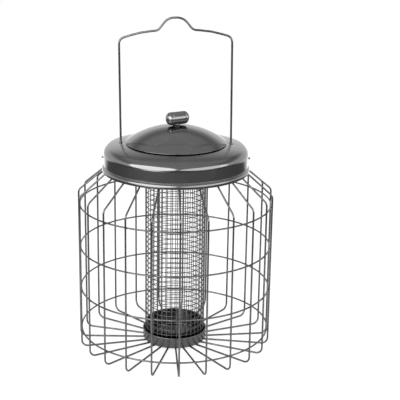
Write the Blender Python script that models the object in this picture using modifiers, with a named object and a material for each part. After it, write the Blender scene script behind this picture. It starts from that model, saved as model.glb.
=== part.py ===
"""Hanging bird feeder with a round wire cage, in metres, +Z up.

The feeder stands on its lowest wires at z = 0 with its axis on the Z axis.
A see-through mesh tube for nuts stands in a shallow tray, inside a cage of
bent upright wires and level rings. A spun canopy covers the cage, a domed lid
with a capsule knob closes the canopy's filling mouth, and a wire bail carries
the whole feeder. The front of the feeder faces -Y.

Two things move. The lid lifts straight up off its mouth, and the bail rocks a
little about the X axis through the canopy's two side holes.
"""

from math import asin, cos, pi, radians, sin, sqrt, tan

import bmesh
import bpy
import numpy
from mathutils import Matrix, Vector

# Clearances shared by all the pieces
gap = 0.0003
cut_overrun = 0.004
weld_distance = 0.00002
hole_sides = 20

# Cage of upright wires
cage_radius = 0.119
cage_wire_count = 23
cage_wire_radius = 0.0010
cage_first_wire_turn = radians(2.8)
cage_shoulder_height = 0.1956
cage_eave_slope = radians(40.4)
cage_eave_overlap = 0.0022
cage_bend_radius = 0.008
wire_sides = 8

# Level rings that lie inside the upright wires, and the two hoops at the wires' ends
ring_count = 4
ring_wire_radius = 0.0009
ring_lowest_height = 0.0200
ring_top_drop = 0.0139
ring_sides = 6
ring_segments_per_gap = 2
bottom_hoop_radius = 0.0224
bottom_hoop_segments_per_gap = 1

# Canopy, a spun sheet ring with a filling mouth
canopy_wall = 0.0010
canopy_mouth_radius = 0.0520
canopy_shoulder_rise = 0.0137
canopy_band_radius = 0.0879
canopy_band_height = 0.0137
canopy_lip_width = 0.0019
canopy_lip_height = 0.0067
canopy_eave_clearance = 0.0013357205
canopy_steps = 40
canopy_shoulder_shares = (
    (0.00, 1.00), (0.195, 0.964), (0.407, 0.890), (0.627, 0.796), (0.817, 0.686),
    (0.861, 0.632), (0.918, 0.516), (0.963, 0.365), (0.990, 0.189), (1.00, 0.00))
canopy_lip_shares = ((0.00, 1.00), (0.60, 0.80), (0.93, 0.58), (1.00, 0.34), (1.00, 0.00))

# Funnel that leads from the canopy's mouth into the tube
funnel_wall = 0.0008
funnel_flange_radius = 0.0570
funnel_throat_margin = 0.0006
funnel_throat_depth = 0.0030
funnel_cone_height = 0.0125
funnel_neck_height = 0.0100
funnel_steps = 40

# Domed lid
lid_wall = 0.0010
lid_radius = 0.0620
lid_rise = 0.0210
lid_steps = 40
lid_rings = 6
lid_stud_hole_radius = 0.0028
collar_play = 0.0008
collar_wall = 0.0010
collar_reach = 0.0024

# Capsule knob on its post, clamped through the lid by a nut and washer
knob_radius = 0.0078
knob_length = 0.0304
knob_cap_length = 0.0061
knob_stand = 0.0007
knob_turn = radians(30.0)
knob_shift = 0.0015
knob_seam_depth = 0.0003
knob_seam_width = 0.0008
knob_cap_points = 5
knob_steps = 24
knob_seat_sides = 32
post_collar_radius = 0.0045
post_stud_radius = 0.0023
post_stud_end = 0.0011
post_steps = 20
washer_radius = 0.0062
washer_thickness = 0.0010
nut_across_corners = 0.0090
nut_thickness = 0.0035
nut_sides = 6

# Mesh tube for the nuts
tube_radius = 0.0368
tube_strand = 0.0014
tube_columns = 20
tube_rows_per_length = 5
tube_lengths = ("lower", "upper")
tube_neck_overlap = 0.0070

# Tray under the tube, with a seed cup standing in it
tray_wall = 0.0006
tray_play = 0.0015
tray_lip_flare = 0.0006
tray_lip_depth = 0.0016
tray_height = 0.0140
tray_steps = 40
tray_corner_shares = ((0.0000, 0.240), (0.0115, 0.120), (0.0430, 0.032), (0.0850, 0.000))
cup_wall = 0.0006
cup_height = 0.0224
cup_corner_shares = ((0.000, 0.160), (0.040, 0.050), (0.110, 0.000))
cup_steps = 36

# Wire bail
bail_wire_radius = 0.0012
bail_half_width = 0.0666
bail_pivot_drop = 0.0057
bail_end_stand_out = 0.0012
bail_hook_bend = 0.0035
bail_corner_rise = 0.1454
bail_corner_bend = 0.0080
bail_shoulder_half_width = 0.0420
bail_shoulder_rise = 0.1532
bail_shoulder_bend = 0.1200
bail_foot_half_width = 0.0206
bail_foot_rise = 0.1546
bail_foot_bend = 0.0085
bail_hump_half_width = 0.0090
bail_hump_rise = 0.1695
bail_hump_bend = 0.0155
bail_lean = 0.0016
bail_unevenness = 0.0019
bail_rock = radians(3.5)
bail_hole_play = 0.0003
bend_step = radians(30.0)


def clear_scene():
    """Remove every object, so that the script can be run again."""
    for thing in list(bpy.data.objects):
        bpy.data.objects.remove(thing, do_unlink=True)


def make_collection(name, hidden=False):
    """A new collection under the scene."""
    collection = bpy.data.collections.new(name)
    bpy.context.scene.collection.children.link(collection)
    collection.hide_render = hidden
    return collection


def make_material(name, color, roughness, metallic):
    """A Principled material in one plain finish."""
    material = bpy.data.materials.new(name)
    material.use_nodes = True
    shader = material.node_tree.nodes["Principled BSDF"]
    shader.inputs["Base Color"].default_value = (*color, 1.0)
    shader.inputs["Roughness"].default_value = roughness
    shader.inputs["Metallic"].default_value = metallic
    return material


clear_scene()
parts = make_collection("bird_feeder")
cutters = make_collection("cutters", hidden=True)

dark_metal = (0.16, 0.16, 0.165)
wire_metal = (0.13, 0.13, 0.135)
mesh_metal = (0.22, 0.22, 0.225)


def add_part(name, data, color, roughness=0.3, metallic=0.9):
    """Make an object of a mesh or a curve, with a material of its own, among the parts."""
    thing = bpy.data.objects.new(name, data)
    data.materials.append(make_material(name + "_finish", color, roughness, metallic))
    parts.objects.link(thing)
    return thing


def profile_mesh(name, points, closed=False):
    """A mesh of edges through profile points given as (radius, height)."""
    data = bpy.data.meshes.new(name)
    count = len(points)
    edges = [(i, i + 1) for i in range(count - 1)]
    if closed:
        edges.append((count - 1, 0))
    data.from_pydata([(r, 0.0, z) for r, z in points], edges, [])
    return data


def add_screw(thing, steps):
    """Turn the object's profile once about its Z axis."""
    screw = thing.modifiers.new("turn", "SCREW")
    screw.axis = "Z"
    screw.angle = 2.0 * pi
    screw.steps = steps
    screw.render_steps = steps
    screw.use_merge_vertices = True
    screw.merge_threshold = weld_distance
    screw.use_smooth_shade = True


def turned_solid(name, points, steps, color, closed=False, roughness=0.3):
    """A solid of revolution. An open profile starts and ends on the axis."""
    thing = add_part(name, profile_mesh(name, points, closed), color, roughness)
    add_screw(thing, steps)
    return thing


def turned_shell(name, points, steps, wall, color, roughness=0.3):
    """A spun sheet whose outer side is the profile, with its wall on the inner side."""
    thing = turned_solid(name, points, steps, color, roughness=roughness)
    shell = thing.modifiers.new("wall", "SOLIDIFY")
    shell.thickness = wall
    shell.offset = -1.0
    shell.use_even_offset = True
    shell.use_rim = True
    return thing


def make_cylinder_cutter(name, radius, length, centre, rotation=(0.0, 0.0, 0.0),
                         sides=hole_sides):
    """A closed cylinder among the cutters."""
    data = bpy.data.meshes.new(name)
    mesh = bmesh.new()
    bmesh.ops.create_cone(mesh, cap_ends=True, segments=sides, radius1=radius, radius2=radius,
                          depth=length)
    mesh.to_mesh(data)
    mesh.free()
    cutter = bpy.data.objects.new(name, data)
    cutter.location = centre
    cutter.rotation_euler = rotation
    cutter.hide_render = True
    cutter.display_type = "WIRE"
    cutters.objects.link(cutter)
    return cutter


def cut_with(thing, cutter):
    """Take the cutter's shape out of the object."""
    cut = thing.modifiers.new("cut_" + cutter.name, "BOOLEAN")
    cut.operation = "DIFFERENCE"
    cut.solver = "EXACT"
    cut.object = cutter


def rounded_path(corners, bends):
    """Points through the corners, each inner corner replaced by an arc of its bend radius."""
    path = [Vector(corners[0])]
    for before, corner, after, bend in zip(corners, corners[1:], corners[2:], bends):
        corner = Vector(corner)
        back = (Vector(before) - corner).normalized()
        on = (Vector(after) - corner).normalized()
        half = back.angle(on) / 2.0
        centre = corner + (back + on).normalized() * (bend / sin(half))
        start = corner + back * (bend / tan(half)) - centre
        turn = pi - 2.0 * half
        axis = on.cross(back)
        steps = max(1, round(turn / bend_step))
        for i in range(steps + 1):
            path.append(centre + Matrix.Rotation(turn * i / steps, 3, axis) @ start)
    path.append(Vector(corners[-1]))
    return path


def make_wire(name, path, radius, color):
    """A round wire along the path with closed ends, one flat of its section facing down."""
    data = bpy.data.curves.new(name, "CURVE")
    data.dimensions = "3D"
    data.bevel_depth = radius
    data.bevel_resolution = wire_sides // 2 - 2
    data.use_fill_caps = True
    spline = data.splines.new("POLY")
    spline.points.add(len(path) - 1)
    for point, place in zip(spline.points, path):
        point.co = (*place, 1.0)
        point.tilt = pi / wire_sides
    return add_part(name, data, color, roughness=0.35)


def make_ring(name, radius, height, wire_radius, color, segments_per_gap=ring_segments_per_gap):
    """A level wire ring whose corners fall at the upright wires."""
    segments = cage_wire_count * segments_per_gap
    bpy.ops.mesh.primitive_torus_add(major_segments=segments, minor_segments=ring_sides,
                                     major_radius=radius, minor_radius=wire_radius,
                                     location=(0.0, 0.0, height),
                                     rotation=(0.0, 0.0, cage_first_wire_turn - pi / 2.0))
    ring = bpy.context.object
    for holder in list(ring.users_collection):
        holder.objects.unlink(ring)
    ring.name = name
    ring.data.name = name
    ring.data.materials.append(make_material(name + "_finish", color, 0.35, 0.9))
    ring.data.shade_smooth()
    parts.objects.link(ring)
    return ring


# Heights that several pieces share. The wires' sections are polygons that stand on a flat.
wire_flat_radius = cage_wire_radius * cos(pi / wire_sides)
cage_floor_height = wire_flat_radius


def eave_height(radius):
    """Height of a cage wire's middle on its slope between shoulder and canopy."""
    return cage_shoulder_height + (cage_radius - radius) * tan(cage_eave_slope)


canopy_lip_radius = canopy_band_radius + canopy_lip_width
top_hoop_radius = canopy_lip_radius - canopy_wall - gap - ring_wire_radius
eave_end_radius = top_hoop_radius - cage_eave_overlap

# The canopy stands just clear of the wires that pass in under its lip
canopy_lip_foot = (eave_height(canopy_lip_radius) + cage_wire_radius / cos(cage_eave_slope)
                   + canopy_eave_clearance)
canopy_band_foot = canopy_lip_foot + canopy_lip_height
canopy_band_top = canopy_band_foot + canopy_band_height
canopy_mouth_height = canopy_band_top + canopy_shoulder_rise


def make_cage():
    """Upright wires from the bottom hoop out, up and in to the top hoop, and the level rings."""
    wire_start_radius = bottom_hoop_radius + ring_wire_radius + gap
    corners = (
        (0.0, -wire_start_radius, cage_floor_height),
        (0.0, -cage_radius, cage_floor_height),
        (0.0, -cage_radius, cage_shoulder_height),
        (0.0, -eave_end_radius, eave_height(eave_end_radius)))
    path = rounded_path(corners, (cage_bend_radius, cage_bend_radius))
    for i in range(cage_wire_count):
        angle = cage_first_wire_turn + 2.0 * pi * i / cage_wire_count
        turn = Matrix.Rotation(angle, 3, "Z")
        make_wire("cage_wire_%02d" % (i + 1), [turn @ place for place in path],
                  cage_wire_radius, wire_metal)
    ring_radius = cage_radius - cage_wire_radius - gap - ring_wire_radius
    ring_highest_height = cage_shoulder_height - ring_top_drop
    ring_spacing = (ring_highest_height - ring_lowest_height) / (ring_count - 1)
    for i in range(ring_count):
        height = ring_lowest_height + ring_spacing * i
        make_ring("cage_ring_%d" % (i + 1), ring_radius, height, ring_wire_radius, wire_metal)
    make_ring("cage_bottom_hoop", bottom_hoop_radius, cage_floor_height, ring_wire_radius,
              wire_metal, bottom_hoop_segments_per_gap)
    stack = cage_wire_radius + gap + ring_wire_radius
    top_hoop_height = eave_height(top_hoop_radius) + stack / cos(cage_eave_slope)
    make_ring("cage_top_hoop", top_hoop_radius, top_hoop_height, ring_wire_radius, wire_metal)


def shoulder_height(radius):
    """Height of the canopy's shoulder at a radius."""
    across, up = zip(*canopy_shoulder_shares)
    share = (radius - canopy_mouth_radius) / (canopy_band_radius - canopy_mouth_radius)
    return canopy_band_top + canopy_shoulder_rise * float(numpy.interp(share, across, up))


# The bail turns in the two side holes, just under the shoulder
bail_pivot_height = canopy_band_top - bail_pivot_drop


def make_canopy():
    """Spun canopy: mouth, rounded shoulder, band and flared lip, with the bail's four holes."""
    width = canopy_band_radius - canopy_mouth_radius
    points = [(canopy_mouth_radius + across * width, canopy_band_top + up * canopy_shoulder_rise)
              for across, up in canopy_shoulder_shares]
    points += [(canopy_band_radius + across * canopy_lip_width, canopy_lip_foot + up * canopy_lip_height)
               for across, up in canopy_lip_shares]
    canopy = turned_shell("canopy", points, canopy_steps, canopy_wall, dark_metal)
    swing = (canopy_mouth_height - bail_pivot_height) * tan(bail_rock)
    top_hole_radius = bail_wire_radius + swing + bail_hole_play
    for side, name in ((-1.0, "left"), (1.0, "right")):
        cut_with(canopy, make_cylinder_cutter(
            "top_hole_" + name, top_hole_radius, 2.0 * canopy_shoulder_rise,
            (side * bail_half_width, 0.0, canopy_mouth_height)))
    side_hole_radius = bail_wire_radius + bail_hole_play
    cut_with(canopy, make_cylinder_cutter(
        "side_holes", side_hole_radius, 2.0 * (canopy_lip_radius + cut_overrun),
        (0.0, 0.0, bail_pivot_height), (0.0, pi / 2.0, 0.0)))
    return canopy


# The funnel hangs under the mouth, and its neck takes the tube's top
flange_height = shoulder_height(funnel_flange_radius) - canopy_wall - 2.0 * gap - funnel_wall
throat_radius = canopy_mouth_radius + funnel_throat_margin
neck_radius = tube_radius + tube_strand / 2.0 + gap + funnel_wall
neck_top = flange_height - funnel_throat_depth - funnel_cone_height
neck_foot = neck_top - funnel_neck_height


def make_funnel():
    """Flange under the canopy, short throat, cone and neck, in one spun sheet."""
    points = (
        (funnel_flange_radius, flange_height),
        (throat_radius, flange_height),
        (throat_radius, flange_height - funnel_throat_depth),
        (neck_radius, neck_top),
        (neck_radius, neck_foot))
    turned_shell("filler_funnel", points, funnel_steps, funnel_wall, dark_metal)


# The tray rests on the cage's floor wires, with the tube and the seed cup inside it
tray_bottom = cage_floor_height + cage_wire_radius + gap
tube_outer_radius = tube_radius + tube_strand / 2.0
tray_radius = tube_outer_radius + tray_play + tray_wall
tube_foot_share = float(numpy.interp(1.0 - tube_outer_radius / tray_radius,
                                     *zip(*tray_corner_shares)))
tube_foot = tray_bottom + tray_height * tube_foot_share + tray_wall + gap
cup_radius = tube_radius * cos(pi / tube_columns) - tube_strand / 2.0 - gap
cup_bottom = tray_bottom + tray_wall + gap


def make_tube():
    """Mesh tube from the tray up into the funnel's neck, in two lengths that meet half way:
    each is a turned grid of strands."""
    top = neck_foot + tube_neck_overlap
    rise = (top - tube_foot - gap * (len(tube_lengths) - 1)) / len(tube_lengths)
    for i, length in enumerate(tube_lengths):
        foot = tube_foot + tube_strand / 2.0 + (rise + gap) * i
        spacing = (rise - tube_strand) / tube_rows_per_length
        points = [(tube_radius, foot + spacing * row)
                  for row in reversed(range(tube_rows_per_length + 1))]
        tube = turned_solid("mesh_tube_" + length, points, tube_columns, mesh_metal,
                            roughness=0.4)
        strands = tube.modifiers.new("strands", "WIREFRAME")
        strands.thickness = tube_strand
        strands.offset = 0.0
        strands.use_even_offset = True
        strands.use_boundary = True
        strands.use_replace = True


def make_tray():
    """Shallow tray with a small flared lip, resting on the cage's floor wires."""
    points = [
        (tray_radius + tray_lip_flare, tray_bottom + tray_height),
        (tray_radius + tray_lip_flare, tray_bottom + tray_height - tray_lip_depth / 2.0),
        (tray_radius, tray_bottom + tray_height - tray_lip_depth)]
    points += [(tray_radius * (1.0 - inward), tray_bottom + tray_height * up)
               for inward, up in tray_corner_shares]
    points.append((0.0, tray_bottom))
    turned_shell("base_tray", points, tray_steps, tray_wall, dark_metal)


def make_cup():
    """Seed cup that stands in the tray, inside the foot of the mesh tube."""
    points = [(cup_radius, cup_bottom + cup_height)]
    points += [(cup_radius * (1.0 - inward), cup_bottom + cup_height * up)
               for inward, up in cup_corner_shares]
    points.append((0.0, cup_bottom))
    turned_shell("seed_cup", points, cup_steps, cup_wall, dark_metal)


# The lid's dome is a cap of a sphere whose edge stands on the canopy's shoulder
dome_radius = (lid_radius ** 2 + lid_rise ** 2) / (2.0 * lid_rise)
dome_edge_angle = asin(lid_radius / dome_radius)
lid_edge_height = shoulder_height(lid_radius) + gap + lid_wall * cos(dome_edge_angle)
lid_top = lid_edge_height + lid_rise
dome_centre = lid_top - dome_radius
knob_height = lid_top + knob_stand + knob_radius


def dome_height(radius, inset=0.0):
    """Height of the dome at a radius, or of the surface that lies inset below it."""
    return dome_centre + sqrt((dome_radius - inset) ** 2 - radius ** 2)


def make_lid():
    """Domed lid with a locating collar under it."""
    hole_angle = asin(lid_stud_hole_radius / dome_radius)
    angles = [hole_angle + (dome_edge_angle - hole_angle) * i / lid_rings
              for i in range(lid_rings + 1)]
    points = [(dome_radius * sin(a), dome_centre + dome_radius * cos(a)) for a in angles]
    lid = turned_shell("dome_lid", points, lid_steps, lid_wall, dark_metal)
    outer = canopy_mouth_radius - collar_play
    inner = outer - collar_wall
    top = dome_height(outer, lid_wall) - gap
    foot = canopy_mouth_height - collar_reach
    collar = turned_solid("lid_collar", ((outer, top), (outer, foot), (inner, foot), (inner, top)),
                          funnel_steps, dark_metal, closed=True)
    return [lid, collar]


def knob_profile():
    """Capsule outline from tip to tip, with a shallow seam groove where each end cap starts."""
    straight = knob_length / 2.0 - knob_cap_length
    half = [(knob_radius * sin(a), straight + knob_cap_length * cos(a))
            for a in (pi / 2.0 * i / knob_cap_points for i in range(knob_cap_points + 1))]
    half.append((knob_radius - knob_seam_depth, straight - knob_seam_width / 2.0))
    half.append((knob_radius, straight - knob_seam_width))
    return half + [(r, -z) for r, z in reversed(half)]


def make_knob():
    """Capsule knob, a little off its middle on a stepped post with a washer and nut inside."""
    lying = (0.0, pi / 2.0, knob_turn)
    knob = turned_solid("lid_knob", knob_profile(), knob_steps, dark_metal)
    knob.location = (knob_shift * cos(knob_turn), knob_shift * sin(knob_turn), knob_height)
    knob.rotation_euler = lying
    seat = make_cylinder_cutter("knob_seat", knob_radius + gap, knob_length,
                                (0.0, 0.0, knob_height), lying, knob_seat_sides)
    seat_height = lid_top + gap
    washer_top = dome_height(washer_radius, lid_wall) - gap
    washer_foot = washer_top - washer_thickness
    nut_top = washer_foot - gap
    nut_foot = nut_top - nut_thickness
    stud_foot = nut_foot - post_stud_end
    post = turned_solid("knob_post", (
        (0.0, knob_height), (post_collar_radius, knob_height), (post_collar_radius, seat_height),
        (post_stud_radius, seat_height), (post_stud_radius, stud_foot), (0.0, stud_foot)),
        post_steps, mesh_metal)
    cut_with(post, seat)
    bore = post_stud_radius + gap
    washer = turned_solid("knob_washer", (
        (washer_radius, washer_top), (washer_radius, washer_foot), (bore, washer_foot),
        (bore, washer_top)), post_steps, mesh_metal, closed=True)
    nut = turned_solid("knob_nut", (
        (0.0, nut_top), (nut_across_corners / 2.0, nut_top),
        (nut_across_corners / 2.0, nut_foot), (0.0, nut_foot)), nut_sides, mesh_metal)
    stud_bore = make_cylinder_cutter("nut_bore", bore, 2.0 * (nut_thickness + cut_overrun),
                                     (0.0, 0.0, nut_foot), sides=post_steps)
    cut_with(nut, stud_bore)
    return [knob, post, washer, nut]


def make_bail():
    """Wire bail: hooked ends in the side holes, straight legs, arched shoulders and a hump to
    hang from. It is bent by hand: its top leans to the left, and its right side stands higher."""
    end = canopy_band_radius + bail_end_stand_out
    right = (
        (end, 0.0, 0.0),
        (bail_half_width, 0.0, 0.0),
        (bail_half_width, 0.0, bail_corner_rise),
        (bail_shoulder_half_width, 0.0, bail_shoulder_rise),
        (bail_foot_half_width, 0.0, bail_foot_rise),
        (bail_hump_half_width, 0.0, bail_hump_rise))
    left = [(-x, y, z) for x, y, z in reversed(right)]
    corners = [(x - bail_lean * z / bail_corner_rise, y,
                z * (1.0 + bail_unevenness * x / (bail_half_width * bail_corner_rise)))
               for x, y, z in (*right, *left)]
    bends = (bail_hook_bend, bail_corner_bend, bail_shoulder_bend, bail_foot_bend, bail_hump_bend)
    path = rounded_path(corners, [*bends, *reversed(bends)])
    bail = make_wire("bail_handle", path, bail_wire_radius, wire_metal)
    bail.location = (0.0, 0.0, bail_pivot_height)
    return bail


def make_lifter(children):
    """Empty on the lid's lift line that carries the lid's pieces."""
    lifter = bpy.data.objects.new("lid_lift_line", None)
    lifter.location = (0.0, 0.0, lid_edge_height)
    parts.objects.link(lifter)
    for child in children:
        child.parent = lifter
        child.matrix_parent_inverse = Matrix.Translation(-lifter.location)
    return lifter


make_cage()
make_canopy()
make_funnel()
make_tube()
make_tray()
make_cup()
make_lifter([*make_lid(), *make_knob()])
make_bail()
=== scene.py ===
"""Looks of a hanging bird feeder: spun gunmetal canopy and lid, wire cage, welded mesh tube.

The pieces are surfaces worked out on a grid, nearly all of them a profile turned round an axis
or a round section carried along a flat path. Lengths are in metres, and the front faces -Y.
"""

from math import asin, atan2, cos, pi, radians, sin, sqrt, tan

import bmesh
import bpy
import numpy as np
from mathutils import Matrix, Vector


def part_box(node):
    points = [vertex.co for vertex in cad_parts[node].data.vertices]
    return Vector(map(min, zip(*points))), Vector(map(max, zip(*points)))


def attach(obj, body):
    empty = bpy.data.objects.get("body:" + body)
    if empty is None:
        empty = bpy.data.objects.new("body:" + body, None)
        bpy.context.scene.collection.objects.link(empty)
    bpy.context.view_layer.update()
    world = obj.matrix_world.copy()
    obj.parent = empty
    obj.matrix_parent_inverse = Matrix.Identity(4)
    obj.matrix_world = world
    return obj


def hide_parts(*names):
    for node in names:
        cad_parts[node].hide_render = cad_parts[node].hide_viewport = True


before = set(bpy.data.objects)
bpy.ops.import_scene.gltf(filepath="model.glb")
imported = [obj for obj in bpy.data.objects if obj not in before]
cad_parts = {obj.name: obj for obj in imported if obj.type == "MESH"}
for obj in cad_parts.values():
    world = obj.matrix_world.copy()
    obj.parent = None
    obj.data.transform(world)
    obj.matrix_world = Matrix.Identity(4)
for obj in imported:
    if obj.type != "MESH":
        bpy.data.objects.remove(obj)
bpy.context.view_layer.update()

# Points on a bent path: the turn between them in a bend, and about their spacing elsewhere
bend_step = radians(6.0)
path_spacing = 0.006

# Cage
cage_radius = 0.119
wire_count = 23
wire_radius = 0.00112
first_wire_turn = radians(2.8)
shoulder_height = 0.1956
eave_slope = radians(40.4)
cage_bend = 0.008
eave_overlap = 0.0022
hoop_clearance = 0.0002
ring_radius = 0.00102
ring_heights = (0.0200, 0.0739, 0.1278, 0.1817)
bottom_hoop_radius = 0.0224
weld_sink = 0.0001
weld_shares = (1.15, 0.85, 0.98)
hoop_weld_drop_share = 1.1
wire_sides = 14
ring_sides = 12
ring_steps = 276
track_shift = 1.7

# Canopy, from its box and the sizes that the box doesn't give
canopy_low, canopy_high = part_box("canopy")
canopy_wall = 0.0010
mouth_radius = 0.0520
mouth_height = canopy_high.z
band_radius = 0.0879
band_top = 0.2435
band_foot = 0.2298
lip_radius = canopy_high.x
lip_foot = canopy_low.z
shoulder_shares = (
    (0.000, 1.000), (0.195, 0.964), (0.407, 0.890), (0.627, 0.796), (0.817, 0.686),
    (0.861, 0.632), (0.918, 0.516), (0.963, 0.365), (0.990, 0.189), (1.000, 0.000))
lip_shares = ((0.00, 1.00), (0.30, 0.93), (0.62, 0.80), (0.86, 0.60), (0.97, 0.36), (1.00, 0.12))
lip_groove = 0.0005
dimple_depth = 0.0005
dimple_width = 0.0042

# Funnel, whose depths are below its top
funnel_wall = 0.0008
funnel_flange_radius = 0.0570
funnel_throat_radius = mouth_radius + 0.0006
funnel_throat_depth = 0.0030
funnel_neck_radius = 0.0386
funnel_neck_depth = 0.0155
funnel_bends = (0.0008, 0.0010, 0.0020)

# Lid
lid_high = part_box("dome_lid")[1]
lid_wall = 0.0010
lid_radius = 0.0620
lid_rise = 0.0210
lid_bead = 0.0008
lid_edge_setback = 0.012
collar_wall = 0.0010
stud_hole_radius = 0.0028

# Knob and its fastening
knob_low, knob_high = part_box("lid_knob")
knob_radius = (knob_high.z - knob_low.z) / 2.0
knob_length = 0.0304
knob_cap_length = 0.0061
knob_turn = radians(30.0)
knob_middle = (knob_low + knob_high) / 2.0
seam_depth = 0.00045
seam_width = 0.0009
soft_edge = 0.0003
seat_gap = 0.0003
saddle_sink = 0.0002
post_collar_radius = 0.0045
stud_radius = 0.0023
nut_corner_radius = 0.0045
nut_chamfer_share = 0.86
nut_chamfer_height = 0.0006

# Mesh tube, tray and cup
tube_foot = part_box("mesh_tube_lower")[0].z
tube_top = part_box("mesh_tube_upper")[1].z
tube_radius = 0.0369
strand_radius = 0.00050
strand_pitch = 0.00635
first_strand_turn = 0.03
first_row_share = 0.4
tray_low, tray_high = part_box("base_tray")
tray_wall = 0.0006
tray_bead = 0.0009
tray_inset = 0.0006
tray_corner = 0.0022
cup_low, cup_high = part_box("seed_cup")
cup_bead = 0.0007
cup_inset = 0.0004
cup_corner = 0.0026

# What the studio round the feeder shows to reflections, where 1 is white, by the sine of the
# height above the horizon
studio_back = ((0.18, 1.40), (0.30, 1.08), (0.38, 0.72), (0.44, 0.57), (0.50, 0.42), (0.57, 0.30),
               (0.62, 0.34), (0.72, 0.53), (1.00, 0.56))
studio_front = ((0.05, 0.22), (0.50, 0.45), (0.75, 0.60), (1.00, 0.56))
studio_fill = 0.60
paper_shade = 0.85
table_shade = 0.18
floor_seen_shade = 0.35
floor_seen_glow = 0.78
backdrop_glow = 1.25
floor_size = 8.0

# Where the studio changes: the paper's front and side edges and the start of the backdrop on
# the floor, the part of the sky where its front half passes into its back half, and how much
# darker the sky is to the right
paper_front = (-0.45, -0.30)
paper_side = (0.42, 0.52)
backdrop_start = (0.55, 0.80)
sky_turn = (-0.45, -0.05)
sky_side_slope = 0.05

# Camera
camera_place = (0.0, -1.2837, 0.5797)
camera_lens = 98.3
camera_sensor = 36.0
camera_pitch = radians(17.12)
camera_yaw = radians(1.34)
camera_roll = radians(0.9)

# Bail, whose rises are above its pivot
bail_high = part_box("bail_handle")[1]
bail_radius = 0.00132
bail_sides = 16
bail_half_width = 0.0666
bail_end_stand_out = 0.0012
bail_corner_rise = 0.1454
bail_shoulder_half_width = 0.0420
bail_shoulder_rise = 0.1532
bail_foot_half_width = 0.0206
bail_foot_rise = 0.1546
bail_hump_half_width = 0.0090
bail_bends = (0.0035, 0.0080, 0.1200, 0.0085, 0.0155)
bail_lean = 0.0016
bail_unevenness = 0.0019
bail_rock = radians(3.5)
pivot_height = 0.2378
side_hole_share = 1.25
top_hole_reach = 0.016
side_hole_reach = 0.008


# Shapes

def joined(*runs):
    """Runs of profile points one after another, as one array of (radius, height)."""
    return np.concatenate([np.atleast_2d(np.asarray(run, float)) for run in runs])


def arc(centre, radius, start, end, steps):
    """Points centre + radius * (cos a, sin a) for a from start to end."""
    a = np.linspace(start, end, steps + 1)
    return np.stack((centre[0] + radius * np.cos(a), centre[1] + radius * np.sin(a)), axis=1)


def line(start, end, steps):
    """Points evenly along the straight line from start to end."""
    share = np.linspace(0.0, 1.0, steps + 1)[:, None]
    return np.asarray(start, float) * (1.0 - share) + np.asarray(end, float) * share


def smooth_run(points, steps):
    """A Catmull-Rom curve through the points: on each span a cubic whose slope at a point is
    half the chord between that point's neighbours."""
    p = np.asarray(points, float)
    p = np.concatenate((2.0 * p[:1] - p[1:2], p, 2.0 * p[-1:] - p[-2:-1]))
    place = np.linspace(0.0, len(p) - 3.0, steps + 1)
    span = np.minimum(place.astype(int), len(p) - 4)
    t = (place - span)[:, None]
    a, b, c, d = p[span], p[span + 1], p[span + 2], p[span + 3]
    return 0.5 * (2.0 * b + (c - a) * t + (2.0 * a - 5.0 * b + 4.0 * c - d) * t ** 2
                  + (3.0 * b - a - 3.0 * c + d) * t ** 3)


def offset_run(points, distance):
    """The run moved sideways by distance, to the right of its direction: each point plus
    distance * (dz, -dr) / length of (dr, dz)."""
    slope = np.gradient(points, axis=0)
    slope /= np.linalg.norm(slope, axis=1)[:, None]
    return points + distance * np.stack((slope[:, 1], -slope[:, 0]), axis=1)


def lengths_along(points):
    """Distance travelled along the points, starting at zero."""
    steps = np.linalg.norm(np.diff(points, axis=-2), axis=-1)
    return np.concatenate((np.zeros_like(steps[..., :1]), np.cumsum(steps, axis=-1)), axis=-1)


def turned(profile, steps):
    """Surface of revolution: (r cos a, r sin a, z) for a profile of (r, z). Its track holds the
    distance along the profile."""
    a = np.linspace(0.0, 2.0 * pi, steps, endpoint=False)
    r, z = profile[:, :1], profile[:, 1:]
    grid = np.stack((r * np.cos(a), r * np.sin(a), z + 0.0 * a), axis=-1)
    track = np.zeros_like(grid)
    track[..., 0] = lengths_along(profile)[:, None]
    return grid, track


def bent_path(corners, bends):
    """Flat path through corners (across, up), with each inner corner rounded by its bend."""
    corners = np.asarray(corners, float)
    runs = [corners[:1]]
    for before, corner, after, bend in zip(corners, corners[1:], corners[2:], bends):
        back = (before - corner) / np.linalg.norm(before - corner)
        on = (after - corner) / np.linalg.norm(after - corner)
        half = np.arccos(np.clip(back @ on, -1.0, 1.0)) / 2.0
        middle = (back + on) / np.linalg.norm(back + on)
        centre = corner + middle * bend / sin(half)
        first, last = corner + back * bend / tan(half), corner + on * bend / tan(half)
        start = atan2(*(first - centre)[::-1])
        turn = (atan2(*(last - centre)[::-1]) - start + pi) % (2.0 * pi) - pi
        steps = max(2, round(abs(turn) / bend_step))
        runs.append(arc(centre, bend, start, start + turn, steps))
    runs.append(corners[-1:])
    return filled(np.concatenate(runs), path_spacing)


def filled(points, spacing):
    """The path with its long straight spans divided evenly, so that every span is shorter than
    twice the spacing."""
    runs = [line(a, b, max(1, int(np.linalg.norm(b - a) / spacing)))[:-1]
            for a, b in zip(points, points[1:])]
    return np.concatenate(runs + [points[-1:]])


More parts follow.
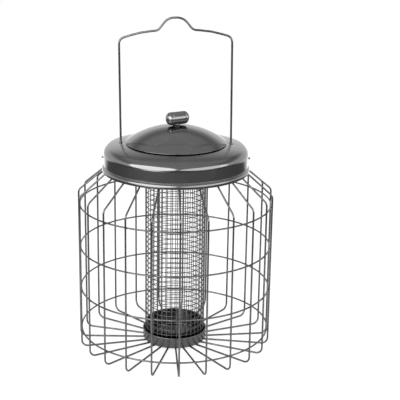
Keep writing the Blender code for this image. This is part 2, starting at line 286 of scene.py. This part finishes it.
def swept(path, normal, radius, sides=wire_sides, closed=False):
    """Tube round a flat path: path + radius * (cos f * normal + sin f * normal x tangent). An
    open tube ends in half balls, where the radius falls as a cosine. Its track holds the
    distance along the path and the place round the section."""
    path = np.asarray(path, float)
    if closed:
        tangent = np.roll(path, -1, axis=0) - np.roll(path, 1, axis=0)
    else:
        tangent = np.gradient(path, axis=0)
    tangent /= np.linalg.norm(tangent, axis=1)[:, None]
    radii = np.full(len(path), radius)
    if not closed:
        a = np.linspace(0.0, pi / 2.0, 5)[1:]
        front = path[0] - tangent[0] * radius * np.sin(a[::-1])[:, None]
        back = path[-1] + tangent[-1] * radius * np.sin(a)[:, None]
        path = np.concatenate((front, path, back))
        tangent = np.concatenate((tangent[[0] * len(a)], tangent, tangent[[-1] * len(a)]))
        ball = radius * np.maximum(np.cos(a), 0.0)
        radii = np.concatenate((ball[::-1], radii, ball))
    side = np.cross(np.asarray(normal, float), tangent)
    f = np.linspace(0.0, 2.0 * pi, sides, endpoint=False)
    out = (np.cos(f)[None, :, None] * np.asarray(normal, float)
           + np.sin(f)[None, :, None] * side[:, None, :])
    grid = path[:, None, :] + radii[:, None, None] * out
    track = np.empty_like(grid)
    track[..., 0] = lengths_along(path)[:, None]
    track[..., 1] = radius * np.cos(f)
    track[..., 2] = radius * np.sin(f)
    return grid, track


def in_plane(path, angle):
    """A flat path of (across, up) set upright in the plane at an angle round the Z axis."""
    return np.stack((path[:, 0] * sin(angle), -path[:, 0] * cos(angle), path[:, 1]), axis=1)


def faces_of(rows, columns, wrap_rows, wrap_columns):
    """Quads of a grid with rows and columns, joined to the first row or column where it wraps."""
    i = np.arange(rows if wrap_rows else rows - 1)[:, None]
    j = np.arange(columns if wrap_columns else columns - 1)[None, :]
    k, m = (i + 1) % rows, (j + 1) % columns
    corners = np.stack(np.broadcast_arrays(
        i * columns + j, i * columns + m, k * columns + m, k * columns + j), axis=-1)
    return corners.reshape(-1, 4)


def mesh_of(name, sheets):
    """One mesh of several grids. A sheet is (grid, track, wraps its rows), and all wrap their
    columns. Poles and doubles are merged, and the normals are turned outwards."""
    points, tracks, quads, used = [], [], [], 0
    for grid, track, wrap_rows in sheets:
        rows, columns = grid.shape[-3:-1]
        one = faces_of(rows, columns, wrap_rows, True)
        copies = int(np.prod(grid.shape[:-3]))
        starts = used + np.arange(copies) * rows * columns
        quads.append((one[None] + starts[:, None, None]).reshape(-1, 4))
        points.append(grid.reshape(-1, 3))
        tracks.append(np.broadcast_to(track, grid.shape).reshape(-1, 3))
        used += copies * rows * columns
    points, tracks, quads = (np.concatenate(part) for part in (points, tracks, quads))
    data = bpy.data.meshes.new(name)
    data.vertices.add(len(points))
    data.vertices.foreach_set("co", points.astype(np.float32).ravel())
    data.loops.add(quads.size)
    data.loops.foreach_set("vertex_index", quads.astype(np.int32).ravel())
    data.polygons.add(len(quads))
    data.polygons.foreach_set("loop_start", np.arange(0, quads.size, 4, dtype=np.int32))
    data.update(calc_edges=True)
    attribute = data.attributes.new("track", "FLOAT_VECTOR", "POINT")
    attribute.data.foreach_set("vector", tracks.astype(np.float32).ravel())
    mesh = bmesh.new()
    mesh.from_mesh(data)
    bmesh.ops.remove_doubles(mesh, verts=mesh.verts, dist=0.000001)
    bmesh.ops.recalc_face_normals(mesh, faces=mesh.faces)
    mesh.to_mesh(data)
    mesh.free()
    data.shade_smooth()
    return data


def add_piece(name, sheets, material, body, slot, *nodes, sharp=radians(50.0)):
    """A piece that rides on its body and stands for the nodes."""
    data = mesh_of(name, sheets)
    data.set_sharp_from_angle(angle=sharp)
    data.materials.append(material)
    piece = bpy.data.objects.new(name, data)
    bpy.context.scene.collection.objects.link(piece)
    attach(piece, body)
    if nodes:
        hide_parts(*nodes)
    return piece


# Finishes

class Number:
    """A number that varies over a surface. Sums and products on it add Math nodes."""

    def __init__(self, finish, socket):
        self.finish, self.socket = finish, socket

    def math(self, operation, first, second=0.0):
        node = self.finish.node("ShaderNodeMath", {"operation": operation}, {0: first, 1: second})
        return Number(self.finish, node.outputs[0])

    def __add__(self, other):
        return self.math("ADD", self, other)

    __radd__ = __add__

    def __sub__(self, other):
        return self.math("SUBTRACT", self, other)

    def __rsub__(self, other):
        return self.math("SUBTRACT", other, self)

    def __mul__(self, other):
        return self.math("MULTIPLY", self, other)

    __rmul__ = __mul__

    def or_more(self, other):
        """The larger of the two."""
        return self.math("MAXIMUM", self, other)

    def size(self):
        """The number without its sign."""
        return self.math("ABSOLUTE", self)

    def between(self, low, high):
        """0 below low, 1 above high, and a soft step in between."""
        node = self.finish.node("ShaderNodeMapRange", {"interpolation_type": "SMOOTHSTEP"},
                                {"Value": self, "From Min": low, "From Max": high})
        return Number(self.finish, node.outputs["Result"])


class Finish:
    """A node tree with a way to add nodes to it."""

    def __init__(self, tree):
        self.tree = tree
        self.place = 0

    def node(self, kind, settings=None, inputs=None):
        """A node of a kind: its settings first, then values or links for its sockets."""
        node = self.tree.nodes.new(kind)
        self.place += 1
        node.location = (-1400.0 + 180.0 * (self.place % 7), 600.0 - 160.0 * (self.place // 7))
        for key, value in (settings or {}).items():
            setattr(node, key, value)
        for key, value in (inputs or {}).items():
            self.feed(node.inputs[key], value)
        return node

    def feed(self, socket, value):
        """Link a number or a socket to the socket, or else set the socket's own value."""
        if isinstance(value, Number):
            value = value.socket
        if isinstance(value, bpy.types.NodeSocket):
            self.tree.links.new(value, socket)
        else:
            socket.default_value = value

    def noise(self, vector, scale, detail):
        """A cloudy number between 0 and 1."""
        node = self.node("ShaderNodeTexNoise", {}, {
            "Vector": vector, "Scale": scale, "Detail": detail, "Roughness": 0.55})
        return Number(self, node.outputs["Fac"])

    def stretched(self, vector, scales):
        """The vector with its x, y and z each times a scale."""
        node = self.node("ShaderNodeVectorMath", {"operation": "MULTIPLY"},
                         {0: vector, 1: scales})
        return node.outputs[0]

    def ramp(self, share, stops):
        """A number read off a table of (share, value), with straight runs between."""
        node = self.node("ShaderNodeValToRGB", {}, {"Fac": share})
        elements = node.color_ramp.elements
        for at, _ in stops[1:-1]:
            elements.new(at)
        for element, (at, value) in zip(elements, stops):
            element.position = at
            element.color = grey(value)
        return Number(self, node.outputs["Color"])

    def parts(self, vector):
        """The x, y and z of a vector."""
        node = self.node("ShaderNodeSeparateXYZ", {}, {0: vector})
        return [Number(self, node.outputs[i]) for i in range(3)]

    def grey_mix(self, share, dark, light):
        """A colour that goes from one to the other by a share."""
        node = self.node("ShaderNodeMix", {"data_type": "RGBA"}, {0: share, 6: dark, 7: light})
        return node.outputs[2]

    def bump(self, height, distance):
        """A normal tilted by a height, which at 1 is the distance in metres."""
        inputs = {"Height": height, "Distance": distance, "Strength": 1.0}
        return self.node("ShaderNodeBump", {}, inputs).outputs["Normal"]


def grey(value):
    """A neutral colour."""
    return (value, value, value, 1.0)


def metal_finish(name):
    """A bare metal material, with the two vectors that its patterns are read from."""
    material = bpy.data.materials.new(name)
    material.use_nodes = True
    finish = Finish(material.node_tree)
    finish.material = material
    finish.shader = material.node_tree.nodes["Principled BSDF"]
    finish.shader.inputs["Metallic"].default_value = 1.0
    finish.object = finish.node("ShaderNodeTexCoord").outputs["Object"]
    finish.track = finish.node("ShaderNodeAttribute", {"attribute_name": "track"}).outputs["Vector"]
    return finish


def spun_metal(name, shade, roughness):
    """Glossy plated sheet: faint turning lines along the profile, cloudy polish and fine
    scratches, with paler rubbed patches."""
    finish = metal_finish(name)
    lines = finish.noise(finish.stretched(finish.track, (1.0, 0.0, 0.0)), 2600.0, 2.0)
    cloud = finish.noise(finish.object, 38.0, 4.0)
    scratches = finish.noise(finish.stretched(finish.object, (40.0, 900.0, 500.0)), 1.0, 2.0)
    crossing = finish.noise(finish.stretched(finish.object, (800.0, 60.0, 400.0)), 1.0, 2.0)
    marks = scratches.between(0.68, 0.74) + crossing.between(0.69, 0.75)
    rubbed = cloud.between(0.52, 0.72)
    finish.feed(finish.shader.inputs["Base Color"],
                finish.grey_mix(rubbed * 0.6 + marks * 0.15,
                                grey(shade * 0.94), grey(shade * 1.16)))
    finish.feed(finish.shader.inputs["Roughness"],
                roughness + 0.05 * rubbed + 0.06 * marks + 0.03 * lines)
    height = 0.35 * lines + 0.25 * marks + 0.4 * cloud
    finish.feed(finish.shader.inputs["Normal"], finish.bump(height, 0.00002))
    return finish.material


def drawn_wire(name, shade, roughness):
    """Plated wire: long drawing lines along it, small dents and rubbed high spots."""
    finish = metal_finish(name)
    lines = finish.noise(finish.stretched(finish.track, (60.0, 4200.0, 4200.0)), 1.0, 2.0)
    cloud = finish.noise(finish.object, 160.0, 3.0)
    finish.feed(finish.shader.inputs["Base Color"],
                finish.grey_mix(cloud.between(0.35, 0.7), grey(shade * 0.85), grey(shade * 1.2)))
    finish.feed(finish.shader.inputs["Roughness"], roughness + 0.06 * cloud + 0.04 * lines)
    height = 0.5 * lines + 0.5 * cloud
    finish.feed(finish.shader.inputs["Normal"], finish.bump(height, 0.00004))
    return finish.material


# Pieces

def make_wires(material):
    """Cage wires: from the bottom hoop out along the floor, up, and in along the eave. Each
    reads another stretch of the pattern."""
    hoop = lip_radius - canopy_wall - hoop_clearance - ring_radius
    end = hoop - eave_overlap
    eave = shoulder_height + (cage_radius - end) * tan(eave_slope)
    start = bottom_hoop_radius + ring_radius + weld_sink
    path = bent_path(((start, wire_radius), (cage_radius, wire_radius),
                      (cage_radius, shoulder_height), (end, eave)), (cage_bend, cage_bend))
    for i in range(wire_count):
        angle = first_wire_turn + 2.0 * pi * i / wire_count
        name = "cage_wire_%02d" % (i + 1)
        grid, track = swept(in_plane(path, angle), (cos(angle), sin(angle), 0.0), wire_radius)
        track[..., 0] += i * track_shift
        add_piece(name + "_drawn", [(grid, track, False)], material, "feeder",
                  "cage_wire_metal", name)
    return hoop


def round_wire(radius, height, wire):
    """A level ring: a round section carried round a circle."""
    a = np.linspace(0.0, 2.0 * pi, ring_steps, endpoint=False)
    path = np.stack((radius * np.cos(a), radius * np.sin(a), height + 0.0 * a), axis=1)
    grid, track = swept(path, (0.0, 0.0, 1.0), wire, ring_sides, closed=True)
    return grid, track, True


def make_rings(material, hoop):
    """Level rings inside the wires, and the hoops at their ends."""
    inside = cage_radius - wire_radius - ring_radius + weld_sink
    for i, height in enumerate(ring_heights):
        name = "cage_ring_%d" % (i + 1)
        add_piece(name + "_drawn", [round_wire(inside, height, ring_radius)], material, "feeder",
                  "cage_wire_metal", name)
    top_low, top_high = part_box("cage_top_hoop")
    top = (top_low.z + top_high.z) / 2.0
    add_piece("cage_top_hoop_drawn", [round_wire(hoop, top, ring_radius)], material,
              "feeder", "cage_wire_metal", "cage_top_hoop")
    add_piece("cage_bottom_hoop_drawn", [round_wire(bottom_hoop_radius, wire_radius, ring_radius)],
              material, "feeder", "cage_wire_metal", "cage_bottom_hoop")
    return inside, top


def make_welds(material, inside, hoop, top):
    """Weld nuggets: flattened balls (x, y, z) = size * (cos u cos v, cos u sin v, sin u) where
    each wire crosses a ring."""
    u = np.linspace(-pi / 2.0, pi / 2.0, 7)[:, None]
    v = np.linspace(0.0, 2.0 * pi, 10, endpoint=False)[None, :]
    ball = np.stack(np.broadcast_arrays(np.cos(u) * np.cos(v), np.cos(u) * np.sin(v),
                                        np.sin(u) + 0.0 * v), axis=-1)
    angles = first_wire_turn + 2.0 * pi * np.arange(wire_count) / wire_count
    spots = [(inside + ring_radius, height) for height in ring_heights]
    spots += [(hoop, top - ring_radius * hoop_weld_drop_share),
              (bottom_hoop_radius + ring_radius, wire_radius)]
    turns = np.repeat(angles, len(spots))
    radii, heights = np.tile(np.array(spots).T, wire_count)
    out = np.stack((np.sin(turns), -np.cos(turns), 0.0 * turns), axis=1)
    side = np.stack((np.cos(turns), np.sin(turns), 0.0 * turns), axis=1)
    size = wire_radius * np.array(weld_shares)
    grid = (ball[None, ..., :1] * size[0] * side[:, None, None, :]
            + ball[None, ..., 1:2] * size[1] * out[:, None, None, :]
            + ball[None, ..., 2:] * size[2] * np.array((0.0, 0.0, 1.0)))
    grid += (out * radii[:, None] + np.stack((0.0 * turns, 0.0 * turns, heights), axis=1))[
        :, None, None, :]
    add_piece("cage_welds", [(grid, grid * 1.0, False)], material, "feeder", "cage_wire_metal")


def canopy_profile():
    """Outer side from the mouth over the shoulder, down the band and round the lip, then the
    inner side back up, one wall further in."""
    width, rise = band_radius - mouth_radius, mouth_height - band_top
    shoulder = smooth_run([(mouth_radius + a * width, band_top + b * rise)
                           for a, b in shoulder_shares], 64)
    band = line((band_radius, band_top), (band_radius, band_foot), 10)[1:]
    groove = smooth_run((band[-1], (band_radius - 0.6 * lip_groove, band_foot - lip_groove),
                         (band_radius + 0.2 * lip_groove, band_foot - 2.0 * lip_groove)),
                        8)[1:]
    top = band_foot - 2.0 * lip_groove
    width, rise = lip_radius - groove[-1, 0], top - lip_foot
    lip = smooth_run([(groove[-1, 0] + a * width, lip_foot + b * rise)
                      for a, b in lip_shares], 24)[1:]
    outer = joined(shoulder, band, groove, lip)
    inner = offset_run(outer, canopy_wall)[::-1]
    return outer, inner


def make_canopy(material):
    """Spun canopy with dimples round the bail's holes: near a hole the sheet drops by
    depth * exp(-(distance / width)^2)."""
    outer, inner = canopy_profile()
    foot = (outer[-1] + inner[0]) / 2.0
    start = atan2(*(outer[-1] - foot)[::-1])
    roll = arc(foot, canopy_wall / 2.0, start, start - pi, 8)[1:-1]
    head = (outer[0] + inner[-1]) / 2.0
    start = atan2(*(inner[-1] - head)[::-1])
    nose = arc(head, canopy_wall / 2.0, start, start - pi, 8)[1:-1]
    grid, track = turned(joined(outer, roll, inner, nose), 288)
    for side in (-1.0, 1.0):
        away = (grid[..., 0] - side * bail_half_width) ** 2 + grid[..., 1] ** 2
        upper = grid[..., 2] > band_top
        grid[..., 2] -= upper * dimple_depth * np.exp(-away / dimple_width ** 2)
    canopy = add_piece("canopy_spun", [(grid, track, True)], material, "feeder",
                       "canopy_metal", "canopy")
    cut_holes(canopy)


def cut_holes(canopy):
    """Cut the bail's top holes and side holes through the sheet, and keep the cut mesh."""
    swing = (mouth_height - pivot_height) * tan(bail_rock)
    cutters = []
    top = (bail_radius + swing, top_hole_reach, 0.0)
    side = (bail_radius * side_hole_share, side_hole_reach, pi / 2.0)
    for (radius, reach, turn), place in (
            (top, (-bail_half_width, 0.0, mouth_height)),
            (top, (bail_half_width, 0.0, mouth_height)),
            (side, (-band_radius, 0.0, pivot_height)),
            (side, (band_radius, 0.0, pivot_height))):
        grid, track = turned(joined((0.0, -reach), (radius, -reach), (radius, reach),
                                    (0.0, reach)), 40)
        cutter = bpy.data.objects.new("hole", mesh_of("hole", [(grid, track, False)]))
        bpy.context.scene.collection.objects.link(cutter)
        cutter.matrix_world = Matrix.Translation(place) @ Matrix.Rotation(turn, 4, "Y")
        cut = canopy.modifiers.new("hole", "BOOLEAN")
        cut.object = cutter
        cut.solver = "EXACT"
        cutters.append(cutter)
    seen = canopy.evaluated_get(bpy.context.evaluated_depsgraph_get())
    data = bpy.data.meshes.new_from_object(seen)
    canopy.modifiers.clear()
    canopy.data = data
    data.set_sharp_from_angle(angle=radians(40.0))
    for cutter in cutters:
        bpy.data.objects.remove(cutter)


def make_funnel(material):
    """Funnel: flange, throat, cone and neck, in sheet with rounded bends."""
    low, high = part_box("filler_funnel")
    outer = bent_path(((funnel_flange_radius, high.z), (funnel_throat_radius, high.z),
                       (funnel_throat_radius, high.z - funnel_throat_depth),
                       (funnel_neck_radius, high.z - funnel_neck_depth),
                       (funnel_neck_radius, low.z)), funnel_bends)
    inner = offset_run(outer, -funnel_wall)[::-1]
    grid, track = turned(joined(outer, inner), 144)
    add_piece("filler_funnel_spun", [(grid, track, True)], material, "feeder",
              "canopy_metal", "filler_funnel")


def make_lid(material):
    """Domed lid: a cap of a sphere, (R sin a, R cos a), with a rolled bead at its edge."""
    dome = (lid_radius ** 2 + lid_rise ** 2) / (2.0 * lid_rise)
    centre = lid_high.z - dome
    edge = asin(lid_radius / dome)
    start = asin(stud_hole_radius / dome)
    crown, rim = pi / 2.0 - start, pi / 2.0 - edge + lid_edge_setback
    outer = arc((0.0, centre), dome, crown, rim, 60)
    inner = arc((0.0, centre), dome - lid_wall, rim, crown, 60)
    foot = (outer[-1] + inner[0]) / 2.0
    out = (outer[-1] - inner[0]) / np.linalg.norm(outer[-1] - inner[0])
    angle = atan2(out[1], out[0])
    bead = arc(foot, lid_bead / 2.0, angle, angle - pi, 12)
    grid, track = turned(joined(outer, bead, inner), 224)
    add_piece("dome_lid_spun", [(grid, track, True)], material, "lid", "lid_metal", "dome_lid")
    low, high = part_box("lid_collar")
    outside, inside = high.x, high.x - collar_wall
    ring = joined((outside, high.z), (outside, low.z + soft_edge), (outside - soft_edge, low.z),
                  (inside + soft_edge, low.z), (inside, low.z + soft_edge), (inside, high.z))
    grid, track = turned(ring, 144)
    add_piece("lid_collar_spun", [(grid, track, True)], material, "lid", "lid_metal",
              "lid_collar")


def make_knob(material):
    """Capsule knob: caps with the outline of half an ellipse on a straight barrel, with a groove
    where each cap starts, turned round its own long axis and laid across the lid."""
    straight = knob_length / 2.0 - knob_cap_length
    cap = arc((0.0, 0.0), 1.0, pi / 2.0, 0.0, 20) * (knob_radius, knob_cap_length)
    cap += (0.0, straight)
    middle = straight - seam_width / 2.0
    groove = joined((knob_radius - 0.3 * seam_depth, straight - 0.15 * seam_width),
                    (knob_radius - seam_depth, middle + 0.12 * seam_width),
                    (knob_radius - seam_depth, middle - 0.12 * seam_width),
                    (knob_radius - 0.3 * seam_depth, middle - 0.35 * seam_width),
                    (knob_radius, straight - seam_width))
    half = joined(cap, groove)
    whole = joined(half, line(half[-1], (half[-1, 0], -half[-1, 1]), 6)[1:-1],
                   half[::-1] * (1.0, -1.0))
    grid, track = turned(whole, 96)
    lying = Matrix.Rotation(knob_turn, 3, "Z") @ Matrix.Rotation(pi / 2.0, 3, "Y")
    grid = grid @ np.array(lying).T + np.array(knob_middle)
    add_piece("lid_knob_with_painted_sheen", [(grid, track, False)], material, "lid", "knob_metal",
              "lid_knob", sharp=radians(70.0))


def make_fastening(material):
    """Post with its stud, washer, and a hexagon nut whose corners are turned off."""
    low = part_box("knob_post")[0]
    collar, stud, soft = post_collar_radius, stud_radius, soft_edge
    seat = lid_high.z + seat_gap
    top = knob_middle.z - sqrt(knob_radius ** 2 - collar ** 2) + saddle_sink
    grid, track = turned(joined(
        (0.0, top), (collar - soft, top), (collar, top - soft), (collar, seat + soft),
        (collar - soft, seat), (stud, seat), (stud, low.z + soft), (stud - soft, low.z),
        (0.0, low.z)), 64)
    bore = stud + seat_gap
    add_piece("knob_post_turned", [(grid, track, False)], material, "lid", "fastener_metal",
              "knob_post")
    low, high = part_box("knob_washer")
    grid, track = turned(joined(
        (high.x - soft, high.z), (high.x, high.z - soft), (high.x, low.z + soft),
        (high.x - soft, low.z), (bore, low.z), (bore, high.z)), 64)
    add_piece("knob_washer_pressed", [(grid, track, True)], material, "lid", "fastener_metal",
              "knob_washer")
    low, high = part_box("knob_nut")
    corner, chamfer = nut_corner_radius, nut_corner_radius * nut_chamfer_share
    a = np.linspace(0.0, 2.0 * pi, 72, endpoint=False)
    flat = corner * cos(pi / 6.0) / np.cos((a + pi / 6.0) % (pi / 3.0) - pi / 6.0)
    z = np.array((high.z, high.z, high.z - nut_chamfer_height, low.z + nut_chamfer_height,
                  low.z, low.z))
    reach = np.array((bore, chamfer, corner, corner, chamfer, bore))
    r = np.minimum(reach[:, None], flat[None, :])
    grid = np.stack((r * np.cos(a), r * np.sin(a), z[:, None] + 0.0 * a), axis=-1)
    add_piece("knob_nut_turned", [(grid, grid * 1.0, True)], material, "lid", "fastener_metal",
              "knob_nut", sharp=radians(25.0))


def make_mesh_tube(material):
    """Welded mesh: upright strands round the tube, and level strands inside them."""
    columns = round(2.0 * pi * tube_radius / strand_pitch)
    rows = round((tube_top - tube_foot) / strand_pitch)
    ends = np.array(((0.0, 0.0, tube_foot), (0.0, 0.0, tube_top)))
    upright, track = swept(filled(ends, strand_pitch), (1.0, 0.0, 0.0), strand_radius, 8)
    a = 2.0 * pi * np.arange(columns) / columns + first_strand_turn
    places = np.stack((tube_radius * np.cos(a), tube_radius * np.sin(a), 0.0 * a), axis=1)
    uprights = upright[None] + places[:, None, None, :]
    b = np.linspace(0.0, 2.0 * pi, columns * 4, endpoint=False)
    inside = tube_radius - 2.0 * strand_radius + weld_sink
    circle = np.stack((inside * np.cos(b), inside * np.sin(b), 0.0 * b), axis=1)
    level, level_track = swept(circle, (0.0, 0.0, 1.0), strand_radius, 7, closed=True)
    heights = tube_foot + strand_pitch * (np.arange(rows) + first_row_share)
    levels = level[None] + np.stack((0.0 * heights, 0.0 * heights, heights), axis=1)[
        :, None, None, :]
    add_piece("mesh_tube_welded", [(uprights, track, False), (levels, level_track, True)],
              material, "feeder", "mesh_metal", "mesh_tube_lower", "mesh_tube_upper")


def dish(radius, bottom, top, wall, corner, bead):
    """Closed profile of a dish: floor, rounded corner, wall and rolled rim, then back inside."""
    outer = joined((0.0, bottom), arc((radius - corner, bottom + corner), corner, -pi / 2.0, 0.0,
                                      12), (radius, top - 2.0 * bead))
    rim = arc((radius - wall / 2.0, top - bead), bead, -pi / 3.0, pi + pi / 3.0, 16)
    small = corner - wall
    inner = joined((radius - wall, top - 2.0 * bead),
                   arc((radius - corner, bottom + corner), small, 0.0, -pi / 2.0, 12),
                   (0.0, bottom + wall))
    return joined(outer, rim, inner)


def make_dishes(material):
    """Tray under the tube, and the seed cup in it."""
    profile = dish(tray_high.x - tray_inset, tray_low.z, tray_high.z, tray_wall, tray_corner,
                   tray_bead)
    grid, track = turned(profile, 144)
    add_piece("base_tray_pressed", [(grid, track, False)], material, "feeder", "tray_metal",
              "base_tray")
    profile = dish(cup_high.x - cup_inset, cup_low.z, cup_high.z, tray_wall, cup_corner,
                   cup_bead)
    grid, track = turned(profile, 144)
    add_piece("seed_cup_pressed", [(grid, track, False)], material, "feeder", "tray_metal",
              "seed_cup")


def make_bail(material):
    """Bail: hooked ends, straight legs, arched shoulders and a hump. It is bent by hand: its
    top leans to the left, and its right side stands higher."""
    right = ((band_radius + bail_end_stand_out, 0.0), (bail_half_width, 0.0),
             (bail_half_width, bail_corner_rise),
             (bail_shoulder_half_width, bail_shoulder_rise),
             (bail_foot_half_width, bail_foot_rise),
             (bail_hump_half_width, bail_high.z - bail_radius - pivot_height))
    left = [(-x, z) for x, z in reversed(right)]
    lean = bail_lean / bail_corner_rise
    uneven = bail_unevenness / (bail_half_width * bail_corner_rise)
    corners = [(x - lean * z, pivot_height + z * (1.0 + uneven * x)) for x, z in (*right, *left)]
    path = bent_path(corners, (*bail_bends, *reversed(bail_bends)))
    grid, track = swept(in_plane(path, pi / 2.0), (0.0, 1.0, 0.0), bail_radius, bail_sides)
    add_piece("bail_handle_drawn", [(grid, track, False)], material, "bail", "bail_metal",
              "bail_handle")


# Studio

def make_floor():
    """Pale floor, so bright to the camera that it shows white and the feeder's shadow is nearly
    lost in it. It is paper round the feeder and a darker table further out to the front and
    sides, and to reflections it glows behind the feeder, where the backdrop meets it."""
    size = floor_size
    data = bpy.data.meshes.new("floor")
    data.from_pydata([(-size, -size, 0.0), (size, -size, 0.0), (size, size, 0.0),
                      (-size, size, 0.0)], [], [(0, 1, 2, 3)])
    material = bpy.data.materials.new("floor_paper")
    material.use_nodes = True
    finish = Finish(material.node_tree)
    shader = material.node_tree.nodes["Principled BSDF"]
    shader.inputs["Roughness"].default_value = 0.9
    shader.inputs["Specular IOR Level"].default_value = 0.0
    light = finish.node("ShaderNodeLightPath")
    seen = Number(finish, light.outputs["Is Camera Ray"])
    mirrored = Number(finish, light.outputs["Is Glossy Ray"])
    x, y = finish.parts(finish.node("ShaderNodeTexCoord").outputs["Object"])[:2]
    on_paper = y.between(*paper_front) * (1.0 - x.size().between(*paper_side))
    shade = table_shade + (paper_shade - table_shade) * on_paper
    finish.feed(shader.inputs["Base Color"],
                finish.grey_mix(shade + (floor_seen_shade - shade) * seen, grey(0.0), grey(1.0)))
    glow = floor_seen_glow * seen + backdrop_glow * mirrored * y.between(*backdrop_start)
    finish.feed(shader.inputs["Emission Color"], finish.grey_mix(glow, grey(0.0), grey(1.0)))
    shader.inputs["Emission Strength"].default_value = 1.0
    data.materials.append(material)
    floor = bpy.data.objects.new("floor", data)
    bpy.context.scene.collection.objects.link(floor)


def make_world():
    """White to the camera; to reflections a white backdrop behind with a dark seam above it, a
    darker studio in front, and a grey ceiling."""
    world = bpy.data.worlds.new("studio")
    world.use_nodes = True
    bpy.context.scene.world = world
    finish = Finish(world.node_tree)
    sky = world.node_tree.nodes["Background"]
    sky.inputs["Strength"].default_value = 1.0
    light = finish.node("ShaderNodeLightPath")
    seen = Number(finish, light.outputs["Is Camera Ray"])
    through = Number(finish, light.outputs["Is Transmission Ray"])
    diffuse = Number(finish, light.outputs["Is Diffuse Ray"])
    x, y, z = finish.parts(finish.node("ShaderNodeTexCoord").outputs["Generated"])
    ahead, back = finish.ramp(z, studio_front), finish.ramp(z, studio_back)
    glossy = ahead + (back - ahead) * y.between(*sky_turn) - sky_side_slope * x
    shade = glossy + (studio_fill - glossy) * diffuse
    finish.feed(sky.inputs["Color"],
                finish.grey_mix(shade.or_more(seen).or_more(through), grey(0.0), grey(1.0)))


def add_softbox(name, azimuth, elevation, distance, width, height, radiance):
    """An oval lamp that faces the canopy. Azimuth goes from the front to the right, and the
    energy is radiance * pi * the oval's area."""
    lamp = bpy.data.lights.new(name, "AREA")
    lamp.shape = "ELLIPSE"
    lamp.size, lamp.size_y = width, height
    lamp.energy = radiance * pi * pi / 4.0 * width * height
    box = bpy.data.objects.new(name, lamp)
    bpy.context.scene.collection.objects.link(box)
    a, e = radians(azimuth), radians(elevation)
    out = Vector((sin(a) * cos(e), -cos(a) * cos(e), sin(e)))
    box.location = Vector((0.0, 0.0, band_top)) + out * distance
    box.rotation_mode = "QUATERNION"
    box.rotation_quaternion = out.to_track_quat("Z", "Y")
    box.visible_camera = False


def make_camera():
    """Camera at the photo's angle: above the feeder, looking down and a little to its right."""
    lens = bpy.data.cameras.new("camera")
    lens.sensor_width = camera_sensor
    lens.lens = camera_lens
    camera = bpy.data.objects.new("camera", lens)
    bpy.context.scene.collection.objects.link(camera)
    camera.matrix_world = (Matrix.Translation(camera_place)
                           @ Matrix.Rotation(-camera_yaw, 4, "Z")
                           @ Matrix.Rotation(pi / 2.0 - camera_pitch, 4, "X")
                           @ Matrix.Rotation(camera_roll, 4, "Z"))
    bpy.context.scene.camera = camera


canopy_metal = spun_metal("canopy_gunmetal", shade=0.23, roughness=0.12)
lid_metal = spun_metal("lid_gunmetal", shade=0.23, roughness=0.12)
# The knob's gunmetal is paler than the lid's: a painted sheen that stands in for the knob's
# brighter highlight.
knob_metal = spun_metal("knob_gunmetal_painted_sheen", shade=0.27, roughness=0.18)
# The tray's and cup's gunmetal is darker than the canopy's: painted shade that stands in for the
# darker floor their walls reflect.
tray_metal = spun_metal("tray_gunmetal_painted_shade", shade=0.17, roughness=0.16)
cage_metal = drawn_wire("cage_wire_plating", shade=0.17, roughness=0.16)
bail_metal = drawn_wire("bail_plating", shade=0.20, roughness=0.10)
mesh_metal = drawn_wire("mesh_plating", shade=0.20, roughness=0.25)
fastener_metal = drawn_wire("fastener_plating", shade=0.18, roughness=0.2)

hoop_radius = make_wires(cage_metal)
ring_inside, hoop_height = make_rings(cage_metal, hoop_radius)
make_welds(cage_metal, ring_inside, hoop_radius, hoop_height)
make_canopy(canopy_metal)
make_funnel(canopy_metal)
make_lid(lid_metal)
make_knob(knob_metal)
make_fastening(fastener_metal)
make_mesh_tube(mesh_metal)
make_dishes(tray_metal)
make_bail(bail_metal)

make_floor()
make_world()
add_softbox("softbox_left", azimuth=-38.0, elevation=20.0, distance=1.5, width=2.26,
            height=1.40, radiance=3.1)
add_softbox("softbox_right", azimuth=47.0, elevation=16.0, distance=1.5, width=2.50,
            height=0.90, radiance=2.0)
make_camera()
bpy.context.scene.view_settings.view_transform = "Standard"
